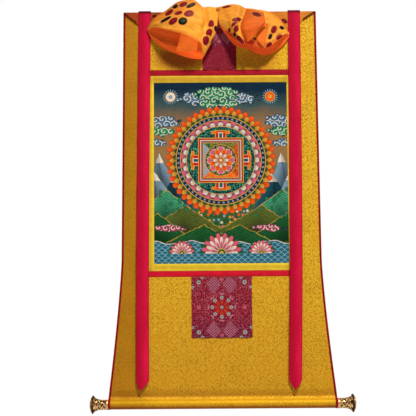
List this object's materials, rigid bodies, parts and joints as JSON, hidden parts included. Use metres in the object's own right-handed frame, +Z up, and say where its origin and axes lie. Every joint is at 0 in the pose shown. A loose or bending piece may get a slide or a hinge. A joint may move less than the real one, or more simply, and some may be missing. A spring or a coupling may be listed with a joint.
{
  "type": "thangka scroll painting",
  "caption": "Hanging painted canvas scroll, framed in satin strips on a flared brocade mount, with a gathered silk veil, pointed ribbons and a rod with turned knobs at its foot.",
  "frame": {"origin": "middle of the top edge, in the middle of the cloth's thickness", "axes": "+X to the right of someone who faces the painting, -Y towards them, +Z up along the scroll's length"},
  "size_m": [0.8694, 0.1066, 1.3736],
  "materials": {
    "gold_brocade": "satin",
    "painted_canvas": "matt",
    "gold_satin": "satin",
    "crimson_satin": "satin",
    "maroon_brocade": "satin",
    "maroon_binding": "satin",
    "crimson_ribbon": "satin",
    "orange_silk": "glossy silk",
    "veil_tape": "satin",
    "rod_wood": "matt",
    "aged_brass": "aged, engraved"
  },
  "bodies": {
    "root": {"binding_left": "maroon_binding", "binding_right": "maroon_binding", "brocade_bottom": "gold_brocade", "brocade_left": "gold_brocade", "brocade_right": "gold_brocade", "brocade_top": "gold_brocade", "crimson_strip_bottom": "crimson_satin", "crimson_strip_left": "crimson_satin", "crimson_strip_right": "crimson_satin", "crimson_strip_top": "crimson_satin", "door_patch_bottom": "maroon_brocade", "door_patch_top": "maroon_brocade", "finial_left": "aged_brass", "finial_right": "aged_brass", "gold_strip_bottom": "gold_satin", "gold_strip_left": "gold_satin", "gold_strip_right": "gold_satin", "gold_strip_top": "gold_satin", "painting": "painted_canvas", "ribbon_left": "crimson_ribbon", "ribbon_right": "crimson_ribbon", "rod": "rod_wood", "veil": "orange_silk", "veil_tape_left": "veil_tape", "veil_tape_right": "veil_tape"}
  },
  "joints": []
}
